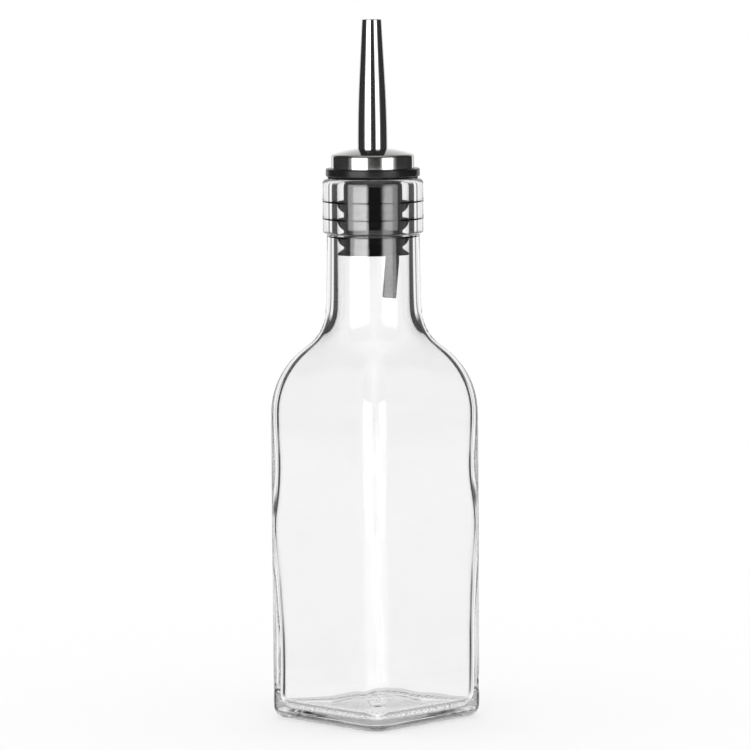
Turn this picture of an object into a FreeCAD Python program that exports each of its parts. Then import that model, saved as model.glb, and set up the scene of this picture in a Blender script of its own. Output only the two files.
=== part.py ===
"""A square clear-glass oil bottle with a push-in steel pourer, in millimetres.

The frame stands on the table: Z runs up the bottle's axis, Z = 0 is the face the base rests on,
and X and Y are square to the four flat sides. The pourer is built seated in the neck.
"""
import FreeCAD, Part
import math
import os
import Sketcher

SHEET_NAME = "Sizes"

# Driving dimensions: alias, value, what it is.
DRIVING_DIMENSIONS = [
    ("body_side", 48.0, "width across the flat sides"),
    ("corner_radius", 7.0, "upright corners, outside"),
    ("heel_radius", 3.5, "rounding between the sides and the base"),
    ("wall", 2.4, "glass thickness of the sides"),
    ("inner_corner_radius", 5.0, "upright corners, inside"),
    ("floor_height", 3.0, "inside floor above the table, in its corners"),
    ("floor_radius", 3.0, "rounding between the inside floor and the walls"),
    ("floor_rise_radius", 18.5, "round rise of the inside floor"),
    ("floor_rise", 2.0, "height of that rise at its middle"),
    ("push_up_radius", 17.0, "round hollow under the base"),
    ("push_up_depth", 2.0, "depth of that hollow at its middle"),
    ("shoulder_height", 91.6, "where the upright sides end"),
    ("shoulder_radius", 24.0, "convex shoulder, measured across the corners"),
    ("throat_radius", 13.5, "concave flare between shoulder and neck"),
    ("inner_throat_radius", 16.5, "the same flare inside"),
    ("neck_low_radius", 14.4, "neck where it leaves the flare"),
    ("neck_top_radius", 13.8, "neck under the finish band"),
    ("bore_radius", 10.7, "bore of neck and mouth"),
    ("finish_radius", 15.1, "heavy band round the mouth"),
    ("finish_height", 16.35, "height of that band"),
    ("finish_round", 0.8, "lower edge of the band"),
    ("lip_round", 1.5, "outer edge of the mouth"),
    ("mouth_round", 0.8, "inner edge of the mouth"),
    ("glass_height", 161.75, "table to the top of the mouth"),
    ("seat_gap", 0.1, "gasket above the mouth"),
    ("gasket_radius", 13.4, "soft flange that seals on the mouth"),
    ("gasket_thickness", 0.4, "that flange"),
    ("collar_radius", 14.0, "hard collar under the cap"),
    ("collar_thickness", 2.4, "that collar"),
    ("collar_round", 0.4, "edges of the collar"),
    ("stopper_depth", 22.65, "stopper below the mouth"),
    ("core_radius", 8.1, "hard core of the stopper"),
    ("sleeve_radius", 8.7, "soft sleeve over the core"),
    ("fin_radius", 10.6, "free edge of the sealing fins, just clear of the bore"),
    ("fin_first_drop", 6.75, "first fin's edge below the mouth"),
    ("fin_pitch", 5.15, "distance from fin to fin"),
    ("fin_rise", 3.4, "a fin's edge above its root"),
    ("fin_root", 1.4, "thickness of a fin at its root"),
    ("fin_bow", 3.4, "radius of a fin's cupped section"),
    ("fin_edge", 0.4, "thickness of a fin at its free edge"),
    ("flat_fin_root", 1.6, "height of the lowest, flat fin at its root"),
    ("boss_height", 2.9, "boss of the core inside the cap"),
    ("pour_radius", 3.1, "bore that the oil runs through"),
    ("socket_depth", 15.0, "socket for the spout, below the top of the boss"),
    ("socket_gap", 0.05, "room round the spout's shank in that socket"),
    ("vent_offset", 5.6, "air vent from the axis"),
    ("vent_azimuth", 45.0, "direction of the air vent, degrees from X towards Y"),
    ("vent_channel_radius", 1.0, "air channel through the core"),
    ("vent_tube_radius", 2.1, "air tube, outside"),
    ("vent_tube_bore", 1.5, "air tube, inside radius"),
    ("vent_tube_grip", 7.0, "air tube held in the core"),
    ("vent_tube_straight", 1.0, "upright stretch below the core"),
    ("vent_tube_bend", 25.0, "radius of its slight bend"),
    ("vent_tube_lean", 5.0, "its lean towards the axis, degrees"),
    ("vent_tube_drop", 10.0, "straight stretch after the bend"),
    ("vent_hole_radius", 0.8, "air hole through the cap"),
    ("vent_hole_offset", 8.0, "that hole from the axis"),
    ("vent_hole_turn", 90.0, "that hole round from the air vent, degrees"),
    ("steel", 0.5, "sheet thickness of cap and spout"),
    ("cap_radius", 12.4, "pressed steel cap"),
    ("cap_side", 3.4, "upright side of the cap, below its round edge"),
    ("cap_edge_round", 0.9, "edge between side and dome"),
    ("cap_dome_radius", 38.0, "dome of the cap"),
    ("spout_radius", 4.45, "foot of the spout"),
    ("spout_foot_round", 0.5, "edge of the foot, where it sits on the cap"),
    ("spout_taper", 3.2, "half angle of the straight taper, degrees"),
    ("spout_tip_radius", 2.9, "outside of the tip"),
    ("tip_height", 208.7, "table to the tip"),
]

FIN_COUNT = 3
SECTION_STEPS = 4
PARTS_FOLDER = "parts"

doc = FreeCAD.newDocument("oil_bottle")
sheet = doc.addObject("Spreadsheet::Sheet", SHEET_NAME)
for row, (alias, value, meaning) in enumerate(DRIVING_DIMENSIONS, start=1):
    sheet.set(f"A{row}", meaning)
    sheet.set(f"B{row}", str(value))
    sheet.setAlias(f"B{row}", alias)
doc.recompute()


def cell(alias):
    """The expression that reads one driving dimension."""
    return f"{SHEET_NAME}.{alias}"


def number(expression):
    """The present value of an expression, as a plain number."""
    value = sheet.evalExpression(expression)
    return float(getattr(value, "Value", value))


# Heights that several pieces share, as expressions of the driving dimensions.
LIP = cell("glass_height")
GASKET_LOW = f"({LIP} + {cell('seat_gap')})"
GASKET_TOP = f"({GASKET_LOW} + {cell('gasket_thickness')})"
COLLAR_TOP = f"({GASKET_TOP} + {cell('collar_thickness')})"
BOSS_TOP = f"({COLLAR_TOP} + {cell('boss_height')})"
STOPPER_LOW = f"({LIP} - {cell('stopper_depth')})"
SOCKET_LOW = f"({BOSS_TOP} - {cell('socket_depth')})"
CAP_EDGE = f"({COLLAR_TOP} + {cell('cap_side')})"
CAP_EDGE_CENTRE = f"({cell('cap_radius')} - {cell('cap_edge_round')})"
DOME_REACH = f"({cell('cap_dome_radius')} - {cell('cap_edge_round')})"
DOME_CENTRE = f"({CAP_EDGE} - sqrt({DOME_REACH} ^ 2 - {CAP_EDGE_CENTRE} ^ 2))"
SHANK = f"({cell('pour_radius')} + {cell('steel')})"


def new_body(label):
    """An empty body whose label names the finished piece."""
    body = doc.addObject("PartDesign::Body", label)
    body.Label = label
    return body


def origin_plane(body, role):
    """One of a body's own origin planes."""
    return next(f for f in body.Origin.OriginFeatures if f.Role == role)


def new_sketch(body, role, name, offset=None):
    """A sketch on one of the body's origin planes, raised by the expression offset."""
    sketch = body.newObject("Sketcher::SketchObject", name)
    sketch.AttachmentSupport = [(origin_plane(body, role), "")]
    sketch.MapMode = "FlatFace"
    if offset is not None:
        sketch.setExpression("AttachmentOffset.Base.z", offset)
    return sketch


def pin_point(sketch, geometry, end, x, y):
    """Holds one end of a curve at the place that two expressions give."""
    for kind, axis, expression in (("DistanceX", -2, x), ("DistanceY", -1, y)):
        value = number(expression)
        if abs(value) < 1e-9:
            sketch.addConstraint(Sketcher.Constraint("PointOnObject", geometry, end, axis))
            continue
        index = sketch.addConstraint(Sketcher.Constraint(kind, -1, 1, geometry, end, value))
        sketch.setExpression(f"Constraints[{index}]", expression)


def arc_between(start, end, radius):
    """The short arc from start to end: a positive radius turns left on the way, a negative one right."""
    chord = end - start
    left = FreeCAD.Vector(-chord.y, chord.x, 0).normalize()
    reach = math.sqrt(radius**2 - (chord.Length / 2) ** 2)
    centre = (start + end) * 0.5 + left * math.copysign(reach, radius)
    circle = Part.Circle(centre, FreeCAD.Vector(0, 0, 1), abs(radius))
    angles = [math.atan2(p.y - centre.y, p.x - centre.x) for p in (start, end)]
    if radius < 0:
        angles.reverse()
    return Part.ArcOfCircle(circle, *angles)


def draw_outline(sketch, outline):
    """Draws a closed outline of (x, y, radius) corners, each an expression.

    A corner's radius belongs to the run from it to the next corner: None is a straight line, and a
    sign before an expression says which way the arc turns, + for left and - for right.
    """
    corners = [FreeCAD.Vector(number(x), number(y), 0) for x, y, _ in outline]
    count = len(outline)
    for i, (_, _, bend) in enumerate(outline):
        start = corners[i]
        end = corners[(i + 1) % count]
        if bend is None:
            sketch.addGeometry(Part.LineSegment(start, end))
            continue
        signed = number(bend[1:]) * (1 if bend[0] == "+" else -1)
        sketch.addGeometry(arc_between(start, end, signed))
    for i, (x, y, bend) in enumerate(outline):
        pin_point(sketch, i, first_end(outline, i), x, y)
        following = (i + 1) % count
        ends = (last_end(outline, i), first_end(outline, following))
        sketch.addConstraint(Sketcher.Constraint("Coincident", i, ends[0], following, ends[1]))
        if bend is not None:
            index = sketch.addConstraint(Sketcher.Constraint("Radius", i, number(bend[1:])))
            sketch.setExpression(f"Constraints[{index}]", bend[1:])


def first_end(outline, i):
    """Which end of curve i is its first corner: a sketch keeps its arcs anticlockwise."""
    bend = outline[i][2]
    return 2 if bend is not None and bend[0] == "-" else 1


def last_end(outline, i):
    """Which end of curve i is its last corner."""
    return 3 - first_end(outline, i)


def turned(body, name, outline, kind="PartDesign::Revolution"):
    """A profile in the X-Z plane turned about the axis: a solid of revolution, or a groove."""
    sketch = new_sketch(body, "XZ_Plane", f"{name}_profile")
    draw_outline(sketch, outline)
    feature = body.newObject(kind, name)
    feature.Profile = sketch
    feature.ReferenceAxis = (sketch, ["V_Axis"])
    feature.Angle = 360
    doc.recompute()
    return feature


def round_hole(body, name, low, high, offset, radius):
    """A round hole along Z between two heights, its axis at offset along X."""
    sketch = new_sketch(body, "XY_Plane", f"{name}_circle", low)
    centre = FreeCAD.Vector(number(offset), 0, 0)
    sketch.addGeometry(Part.Circle(centre, FreeCAD.Vector(0, 0, 1), number(radius)))
    index = sketch.addConstraint(Sketcher.Constraint("Radius", 0, number(radius)))
    sketch.setExpression(f"Constraints[{index}]", radius)
    pin_point(sketch, 0, 3, offset, "0")
    pocket = body.newObject("PartDesign::Pocket", name)
    pocket.Profile = sketch
    pocket.Reversed = True
    pocket.setExpression("Length", f"{high} - {low}")
    doc.recompute()
    return pocket


def edges_at(shape, height):
    """Names of the edges that lie flat at one height."""
    names = []
    for i, edge in enumerate(shape.Edges, start=1):
        box = edge.BoundBox
        if abs(box.ZMin - height) < 1e-6 and abs(box.ZMax - height) < 1e-6:
            names.append(f"Edge{i}")
    return names


def rounded_edges(body, name, base, edges, radius):
    """A fillet of one radius along the named edges of a feature."""
    fillet = body.newObject("PartDesign::Fillet", name)
    fillet.Base = (base, edges)
    fillet.setExpression("Radius", radius)
    doc.recompute()
    return fillet


class Shoulder:
    """Sections that lead a square with round corners up into a circle.

    Across the corners the outline is a convex arc that runs into a concave one. At each height the
    section lies the same share of the way from square to circle, all the way round.
    """

    def __init__(self, half_side, corner, circle, start, convex, concave):
        self.half_side = half_side
        self.corner = corner
        self.circle = circle
        self.start = start
        self.convex = convex
        self.concave = concave
        self.flat = f"({half_side} - {corner})"
        self.diagonal = f"({half_side} * sqrt(2) - (sqrt(2) - 1) * {corner})"
        self.joint = f"sqrt({half_side} ^ 2 + {self.flat} ^ 2)"
        reach = f"({convex} + {concave})"
        across = f"({circle} + {concave} - {self.diagonal} + {convex})"
        self.turn = f"acos({across} / {reach})"
        self.throat = f"({start} + sqrt({reach} ^ 2 - {across} ^ 2))"

    def stations(self, steps):
        """Height and share of the way to the circle, from the square up."""
        span = f"({self.diagonal} - {self.circle})"
        for k in range(steps + 1):
            angle = f"({k} / {steps} * {self.turn})"
            height = f"{self.start} + {self.convex} * sin{angle}"
            yield height, f"{self.convex} * (1 - cos{angle}) / {span}"
        for k in reversed(range(steps)):
            angle = f"({k} / {steps} * {self.turn})"
            height = f"{self.throat} - {self.concave} * sin{angle}"
            yield height, f"1 - {self.concave} * (1 - cos{angle}) / {span}"

    def section(self, body, name, height, share):
        """One section: four sides and four corners, each an arc, or a line where it is flat."""
        sketch = new_sketch(body, "XY_Plane", name, height)
        scale = f"(1 - ({share}) * (1 - {self.circle} / {self.joint}))"
        bulge = f"(({share}) * {self.circle} * (1 - {self.half_side} / {self.joint}))"
        x = f"({self.half_side} * {scale})"
        y = f"({self.flat} * {scale})"
        side = None
        if number(bulge) > 1e-6:
            side = f"+({y} ^ 2 + {bulge} ^ 2) / (2 * {bulge})"
        reach = f"({self.diagonal} - ({share}) * ({self.diagonal} - {self.circle}))"
        chord = f"(({x} - {y}) * sqrt(0.5))"
        crown = f"({reach} - ({x} + {y}) * sqrt(0.5))"
        corner = f"+({chord} ^ 2 + {crown} ^ 2) / (2 * {crown})"
        draw_outline(sketch, [
            (x, f"-{y}", side), (x, y, corner),
            (y, x, side), (f"-{y}", x, corner),
            (f"-{x}", y, side), (f"-{x}", f"-{y}", corner),
            (f"-{y}", f"-{x}", side), (y, f"-{x}", corner),
        ])
        return sketch

    def loft(self, body, name, kind):
        """The sections joined into one smooth solid, added to the body or taken from it."""
        sketches = []
        for i, (height, share) in enumerate(self.stations(SECTION_STEPS)):
            sketches.append(self.section(body, f"{name}_{i}", height, share))
        doc.recompute()
        feature = body.newObject(kind, name)
        feature.Profile = sketches[0]
        feature.Sections = sketches[1:]
        doc.recompute()
        return feature


# Glass bottle: one blown piece, a square body with round corners, a drawn-in shoulder and a
# thick-walled neck that ends in a heavy band. It is open through the mouth.
bottle = new_body("glass_bottle")
HALF_SIDE = f"({cell('body_side')} / 2)"
INNER_HALF_SIDE = f"({HALF_SIDE} - {cell('wall')})"
INNER_SHOULDER = f"({cell('shoulder_radius')} - {cell('wall')})"
outer = Shoulder(HALF_SIDE, cell("corner_radius"), cell("neck_low_radius"),
                 cell("shoulder_height"), cell("shoulder_radius"), cell("throat_radius"))
inner = Shoulder(INNER_HALF_SIDE, cell("inner_corner_radius"), cell("bore_radius"),
                 cell("shoulder_height"), INNER_SHOULDER, cell("inner_throat_radius"))

foot_sketch = outer.section(bottle, "body_outline", "0", "0")
body_pad = bottle.newObject("PartDesign::Pad", "body_block")
body_pad.Profile = foot_sketch
body_pad.setExpression("Length", cell("shoulder_height"))
doc.recompute()
rounded_edges(bottle, "heel", body_pad, edges_at(body_pad.Shape, 0.0), cell("heel_radius"))
outer.loft(bottle, "shoulder", "PartDesign::AdditiveLoft")

# Neck and band: the neck narrows a little upwards, and the band has rounded edges above and below.
band_low = f"({LIP} - {cell('finish_height')})"
turned(bottle, "neck_and_band", [
    ("0", outer.throat, None),
    (cell("neck_low_radius"), outer.throat, None),
    (cell("neck_top_radius"), band_low, None),
    (f"{cell('finish_radius')} - {cell('finish_round')}", band_low, f"+{cell('finish_round')}"),
    (cell("finish_radius"), f"{band_low} + {cell('finish_round')}", None),
    (cell("finish_radius"), f"{LIP} - {cell('lip_round')}", f"+{cell('lip_round')}"),
    (f"{cell('finish_radius')} - {cell('lip_round')}", LIP, None),
    ("0", LIP, None),
])

# Inside: a square chamber with a rounded floor, the drawn-in shoulder, and the bore up to the mouth.
floor_sketch = inner.section(bottle, "chamber_outline", cell("floor_height"), "0")
chamber = bottle.newObject("PartDesign::Pocket", "chamber")
chamber.Profile = floor_sketch
chamber.Reversed = True
chamber.setExpression("Length", f"{cell('shoulder_height')} - {cell('floor_height')}")
doc.recompute()
floor_edges = edges_at(chamber.Shape, number(cell("floor_height")))
rounded_edges(bottle, "chamber_floor", chamber, floor_edges, cell("floor_radius"))
inner.loft(bottle, "inner_shoulder", "PartDesign::SubtractiveLoft")
turned(bottle, "bore", [
    ("0", inner.throat, None),
    (cell("bore_radius"), inner.throat, None),
    (cell("bore_radius"), f"{LIP} - {cell('mouth_round')}", f"-{cell('mouth_round')}"),
    (f"{cell('bore_radius')} + {cell('mouth_round')}", LIP, None),
    ("0", LIP, None),
], "PartDesign::Groove")



def low_dome(radius, rise):
    """Radius of the arc that climbs from a rim to its middle."""
    return f"+({radius} ^ 2 + {rise} ^ 2) / (2 * {rise})"


# Base: pushed up in the middle, so that the inside floor rises in a low dome over a shallow round
# hollow, and the bottle stands on the flat rim round that hollow.
floor, floor_rise = cell("floor_height"), cell("floor_rise")
turned(bottle, "floor_dome", [
    ("0", f"{floor} / 2", None),
    (cell("floor_rise_radius"), f"{floor} / 2", None),
    (cell("floor_rise_radius"), floor, low_dome(cell("floor_rise_radius"), floor_rise)),
    ("0", f"{floor} + {floor_rise}", None),
])
turned(bottle, "push_up", [
    ("0", "0", None),
    (cell("push_up_radius"), "0", low_dome(cell("push_up_radius"), cell("push_up_depth"))),
    ("0", cell("push_up_depth"), None),
], "PartDesign::Groove")

# Finned sleeve: one soft moulding pulled over the core. Its flange seals on the mouth, three cupped
# fins bent up by the bore hold the pourer in, and a flat fin closes the lower end.
sleeve = new_body("finned_sleeve")
sleeve_outline = [
    (cell("core_radius"), STOPPER_LOW, None),
    (cell("fin_radius"), STOPPER_LOW, None),
    (cell("fin_radius"), f"{STOPPER_LOW} + {cell('fin_edge')}", None),
    (cell("sleeve_radius"), f"{STOPPER_LOW} + {cell('flat_fin_root')}", None),
]
for i in reversed(range(FIN_COUNT)):
    edge = f"({LIP} - {cell('fin_first_drop')} - {i} * {cell('fin_pitch')})"
    root = f"({edge} - {cell('fin_rise')})"
    sleeve_outline += [
        (cell("sleeve_radius"), root, f"+{cell('fin_bow')}"),
        (cell("fin_radius"), f"{edge} - {cell('fin_edge')}", None),
        (cell("fin_radius"), edge, None),
        (f"{cell('fin_radius')} - {cell('fin_edge')}", edge, f"-{cell('fin_bow')} - {cell('fin_edge')}"),
        (cell("sleeve_radius"), f"{root} + {cell('fin_root')}", None),
    ]
sleeve_outline += [
    (cell("sleeve_radius"), GASKET_LOW, None),
    (cell("gasket_radius"), GASKET_LOW, None),
    (cell("gasket_radius"), GASKET_TOP, None),
    (cell("core_radius"), GASKET_TOP, None),
]
turned(sleeve, "sleeve_ring", sleeve_outline)

# Stopper core: one hard moulding, with the collar that shows under the cap and the boss that the cap
# is pressed on. A bore takes the oil to the spout's socket, and a narrow channel beside it lets air in.
core = new_body("stopper_core")
SOCKET = f"({SHANK} + {cell('socket_gap')})"
turned(core, "core_ring", [
    (cell("pour_radius"), STOPPER_LOW, None),
    (cell("core_radius"), STOPPER_LOW, None),
    (cell("core_radius"), GASKET_TOP, None),
    (f"{cell('collar_radius')} - {cell('collar_round')}", GASKET_TOP, f"+{cell('collar_round')}"),
    (cell("collar_radius"), f"{GASKET_TOP} + {cell('collar_round')}", None),
    (cell("collar_radius"), f"{COLLAR_TOP} - {cell('collar_round')}", f"+{cell('collar_round')}"),
    (f"{cell('collar_radius')} - {cell('collar_round')}", COLLAR_TOP, None),
    (f"{cell('cap_radius')} - {cell('steel')}", COLLAR_TOP, None),
    (f"{cell('cap_radius')} - {cell('steel')}", BOSS_TOP, None),
    (SOCKET, BOSS_TOP, None),
    (SOCKET, SOCKET_LOW, None),
    (cell("pour_radius"), SOCKET_LOW, None),
])
VENT_SOCKET_TOP = f"({STOPPER_LOW} + {cell('vent_tube_grip')})"
vent_offset = cell("vent_offset")
round_hole(core, "vent_socket", STOPPER_LOW, VENT_SOCKET_TOP, vent_offset, cell("vent_tube_radius"))
round_hole(core, "vent_channel", VENT_SOCKET_TOP, BOSS_TOP, vent_offset, cell("vent_channel_radius"))
core.setExpression("Placement.Rotation.Angle", cell("vent_azimuth"))

# Vent tube: a short soft tube pushed into the core. It hangs below the stopper and leans to the axis.
vent_tube = new_body("vent_tube")
ring = new_sketch(vent_tube, "XY_Plane", "tube_ring", VENT_SOCKET_TOP)
for i, radius in enumerate(("vent_tube_radius", "vent_tube_bore")):
    centre = FreeCAD.Vector(number(vent_offset), 0, 0)
    ring.addGeometry(Part.Circle(centre, FreeCAD.Vector(0, 0, 1), number(cell(radius))))
    index = ring.addConstraint(Sketcher.Constraint("Radius", i, number(cell(radius))))
    ring.setExpression(f"Constraints[{index}]", cell(radius))
    pin_point(ring, i, 3, vent_offset, "0")

BEND_TOP = f"({STOPPER_LOW} - {cell('vent_tube_straight')})"
bend_x = f"({vent_offset} - {cell('vent_tube_bend')} * (1 - cos({cell('vent_tube_lean')})))"
bend_z = f"({BEND_TOP} - {cell('vent_tube_bend')} * sin({cell('vent_tube_lean')}))"
path = new_sketch(vent_tube, "XZ_Plane", "tube_path")
path_points = [
    (vent_offset, VENT_SOCKET_TOP),
    (vent_offset, BEND_TOP),
    (bend_x, bend_z),
    (f"{bend_x} - {cell('vent_tube_drop')} * sin({cell('vent_tube_lean')})",
     f"{bend_z} - {cell('vent_tube_drop')} * cos({cell('vent_tube_lean')})"),
]
vectors = [FreeCAD.Vector(number(x), number(z), 0) for x, z in path_points]
path.addGeometry(Part.LineSegment(vectors[0], vectors[1]))
path.addGeometry(arc_between(vectors[1], vectors[2], -number(cell("vent_tube_bend"))))
path.addGeometry(Part.LineSegment(vectors[2], vectors[3]))
for geometry, end, (x, z) in zip((0, 0, 2, 2), (1, 2, 1, 2), path_points):
    pin_point(path, geometry, end, x, z)
path.addConstraint(Sketcher.Constraint("Coincident", 1, 2, 0, 2))
path.addConstraint(Sketcher.Constraint("Coincident", 1, 1, 2, 1))
index = path.addConstraint(Sketcher.Constraint("Radius", 1, number(cell("vent_tube_bend"))))
path.setExpression(f"Constraints[{index}]", cell("vent_tube_bend"))
doc.recompute()
tube = vent_tube.newObject("PartDesign::AdditivePipe", "tube")
tube.Profile = ring
tube.Spine = (path, ["Edge1", "Edge2", "Edge3"])
doc.recompute()
vent_tube.setExpression("Placement.Rotation.Angle", cell("vent_azimuth"))

# Cap shell: pressed from sheet steel, an upright side with a round edge and a low dome. The spout
# stands in its middle hole, and a small air hole opens at the far side.
cap = new_body("cap_shell")


def dome_height(radius, sheet_depth):
    """Height of the dome at one radius, outside (depth 0) or inside the sheet."""
    return f"({DOME_CENTRE} + sqrt(({cell('cap_dome_radius')} - {sheet_depth}) ^ 2 - {radius} ^ 2))"


def dome_edge(sheet_depth):
    """Where the dome runs into its round edge."""
    share = f"({cell('cap_dome_radius')} - {sheet_depth}) / {DOME_REACH}"
    return f"({CAP_EDGE_CENTRE} * {share})", f"({DOME_CENTRE} + ({CAP_EDGE} - {DOME_CENTRE}) * {share})"


outer_edge = dome_edge("0")
inner_edge = dome_edge(cell("steel"))
turned(cap, "cap_ring", [
    (f"{cell('cap_radius')} - {cell('steel')}", COLLAR_TOP, None),
    (cell("cap_radius"), COLLAR_TOP, None),
    (cell("cap_radius"), CAP_EDGE, f"+{cell('cap_edge_round')}"),
    (*outer_edge, f"+{cell('cap_dome_radius')}"),
    (SHANK, dome_height(SHANK, "0"), None),
    (SHANK, dome_height(SHANK, cell("steel")), f"-{cell('cap_dome_radius')} - {cell('steel')}"),
    (*inner_edge, f"-{cell('cap_edge_round')} - {cell('steel')}"),
    (f"{cell('cap_radius')} - {cell('steel')}", CAP_EDGE, None),
])
hole_offset = cell("vent_hole_offset")
round_hole(cap, "air_hole", COLLAR_TOP, cell("tip_height"), hole_offset, cell("vent_hole_radius"))
cap.setExpression("Placement.Rotation.Angle", f"{cell('vent_azimuth')} + {cell('vent_hole_turn')}")

# Spout: a drawn steel tube, nearly straight at the foot and then tapered to a plain cut tip. Its
# foot is turned in flat on the cap, and its shank is pressed into the core.
spout = new_body("spout_tube")
foot_low = dome_height(SHANK, "0")
foot_centre = f"({cell('spout_radius')} - {cell('spout_foot_round')})"
FOOT = f"({foot_low} + {cell('spout_foot_round')})"
taper = cell("spout_taper")
draw_in = f"({cell('spout_radius')} - {cell('spout_tip_radius')})"
sweep = f"((({cell('tip_height')} - {FOOT}) * tan({taper}) - {draw_in}) / (1 / cos({taper}) - 1))"
inner_sweep = f"({sweep} - {cell('steel')})"
sweep_centre = f"({cell('spout_radius')} - {sweep})"
turned(spout, "spout_ring", [
    (cell("pour_radius"), SOCKET_LOW, None),
    (SHANK, SOCKET_LOW, None),
    (SHANK, foot_low, None),
    (foot_centre, foot_low, f"+{cell('spout_foot_round')}"),
    (cell("spout_radius"), FOOT, f"+{sweep}"),
    (f"{sweep_centre} + {sweep} * cos({taper})", f"{FOOT} + {sweep} * sin({taper})", None),
    (cell("spout_tip_radius"), cell("tip_height"), None),
    (f"{cell('spout_tip_radius')} - {cell('steel')} / cos({taper})", cell("tip_height"), None),
    (f"{sweep_centre} + {inner_sweep} * cos({taper})", f"{FOOT} + {inner_sweep} * sin({taper})",
     f"-{inner_sweep}"),
    (f"{cell('spout_radius')} - {cell('steel')}", FOOT, None),
    (cell("pour_radius"), FOOT, None),
])

# Every piece is checked before it is written.
doc.recompute()
for item in doc.Objects:
    if "Invalid" in item.State or "Error" in item.State:
        raise RuntimeError(f"{item.Name} did not build: {item.State}")
os.makedirs(PARTS_FOLDER, exist_ok=True)
for piece in (bottle, sleeve, core, vent_tube, cap, spout):
    shape = piece.Shape
    if shape.isNull() or not shape.isValid() or len(shape.Solids) != 1:
        raise RuntimeError(f"{piece.Label} is not one sound solid")
    shape.exportStep(f"{PARTS_FOLDER}/{piece.Label}.step")
    box = shape.optimalBoundingBox()
    print(f"{piece.Label}: {shape.Volume:.0f} mm3, Z {box.ZMin:.2f} to {box.ZMax:.2f}, "
          f"X {box.XMin:.2f} to {box.XMax:.2f}")
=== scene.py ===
import math

import bmesh
import bpy
import mathutils
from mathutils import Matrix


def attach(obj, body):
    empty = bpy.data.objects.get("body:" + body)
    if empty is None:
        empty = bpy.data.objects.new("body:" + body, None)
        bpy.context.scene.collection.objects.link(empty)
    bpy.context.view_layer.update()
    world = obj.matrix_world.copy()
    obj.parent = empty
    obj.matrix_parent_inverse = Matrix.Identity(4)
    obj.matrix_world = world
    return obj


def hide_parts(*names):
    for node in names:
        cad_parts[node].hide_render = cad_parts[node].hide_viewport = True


# All sizes are in metres, in the frame of the CAD part, whose pieces are loaded first.
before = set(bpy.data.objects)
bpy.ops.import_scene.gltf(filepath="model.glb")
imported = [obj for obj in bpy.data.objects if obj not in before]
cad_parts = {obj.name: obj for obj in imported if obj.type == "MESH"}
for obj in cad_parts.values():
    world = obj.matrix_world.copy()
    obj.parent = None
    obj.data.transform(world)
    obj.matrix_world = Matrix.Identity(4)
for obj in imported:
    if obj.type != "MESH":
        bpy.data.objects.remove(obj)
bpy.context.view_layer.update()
bpy.ops.object.select_all(action="DESELECT")


# Glass bottle: one piece of clear glass blown in a mould, with a square body, soft upright corners, a
# shoulder that draws in to a round neck, and a heavy band round the mouth. The lip is fire-polished, the
# base is thick, and the inside is a little uneven because no mould touches it.
body_side = 0.048
body_corner = 0.007
glass_wall = 0.0024
inner_corner = 0.005
shoulder_height = 0.0916
neck_radius = 0.0144
bore_radius = 0.0107
bore_top = 0.15975
band_radius = 0.0151
band_low = 0.1454
lip_height = 0.16175
lip_end = lip_height - 0.0008
heel_round = 0.0035
floor_round = 0.0045
corner_steps = 5
side_cuts = 10
shoulder_steps = 7
smoothing = 2
same_place = 1e-6
diagonal = math.sqrt(0.5)


def start_piece(name):
    """A new piece, open for editing, with one small square in it to start from."""
    bpy.ops.mesh.primitive_plane_add(size=0.001)
    bpy.context.object.name = name
    bpy.ops.object.mode_set(mode="EDIT")
    return bpy.context.object


def edited():
    """The mesh being edited."""
    return bmesh.from_edit_mesh(bpy.context.object.data)


def pick(wanted):
    """Selects only the vertices whose place passes a test, with the edges and faces between them."""
    bpy.ops.mesh.select_all(action="DESELECT")
    mesh = edited()
    for vertex in mesh.verts:
        vertex.select_set(not vertex.hide and wanted(vertex.co))
    mesh.select_flush(True)
    bmesh.update_edit_mesh(bpy.context.object.data)


def square_ring(side, corner, height):
    """A square with round corners becomes a ring of edges, with points along its straight sides."""
    bpy.ops.mesh.primitive_plane_add(size=side, location=(0, 0, height))
    bpy.ops.mesh.bevel(affect="VERTICES", offset=corner, segments=corner_steps, profile=0.5)
    bpy.ops.mesh.delete(type="ONLY_FACE")
    bpy.ops.mesh.select_all(action="DESELECT")
    for edge in edited().edges:
        edge.select_set(not edge.hide and edge.calc_length() > corner)
    bmesh.update_edit_mesh(bpy.context.object.data)
    bpy.ops.mesh.subdivide(number_cuts=side_cuts)
    bpy.ops.mesh.select_all(action="SELECT")


def next_ring(rise, growth=1.0, roundness=0.0):
    """Extrudes the selected ring, then scales the new one and rounds it towards a circle."""
    bpy.ops.mesh.extrude_edges_move(TRANSFORM_OT_translate={"value": (0, 0, rise)})
    bpy.ops.transform.resize(value=(growth, growth, 1))
    bpy.ops.transform.tosphere(value=roundness)


def draw_in(neck, convex, concave):
    """Leads the selected square ring up to a circle, its corners by a convex and then a concave arc."""
    reach = [vertex.co.xy.length for vertex in edited().verts if vertex.select]
    mean, corner = sum(reach) / len(reach), max(reach)
    turn = math.acos((neck + concave - corner + convex) / (convex + concave))
    angles = [turn * step / shoulder_steps for step in range(shoulder_steps + 1)]
    top = (convex + concave) * math.sin(turn)
    sweep = [(convex * math.sin(a), corner - convex * (1 - math.cos(a))) for a in angles[1:]]
    sweep += [(top - concave * math.sin(a), neck + concave * (1 - math.cos(a))) for a in angles[-2::-1]]
    height, size, square = 0.0, mean, 1.0
    for new_height, corner_reach in sweep:
        new_square = (corner_reach - neck) / (corner - neck)
        new_size = new_square * mean + (1 - new_square) * neck
        growth = new_size / size
        next_ring(new_height - height, growth, 1 - new_square / (growth * square))
        height, size, square = new_height, new_size, new_square


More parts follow.
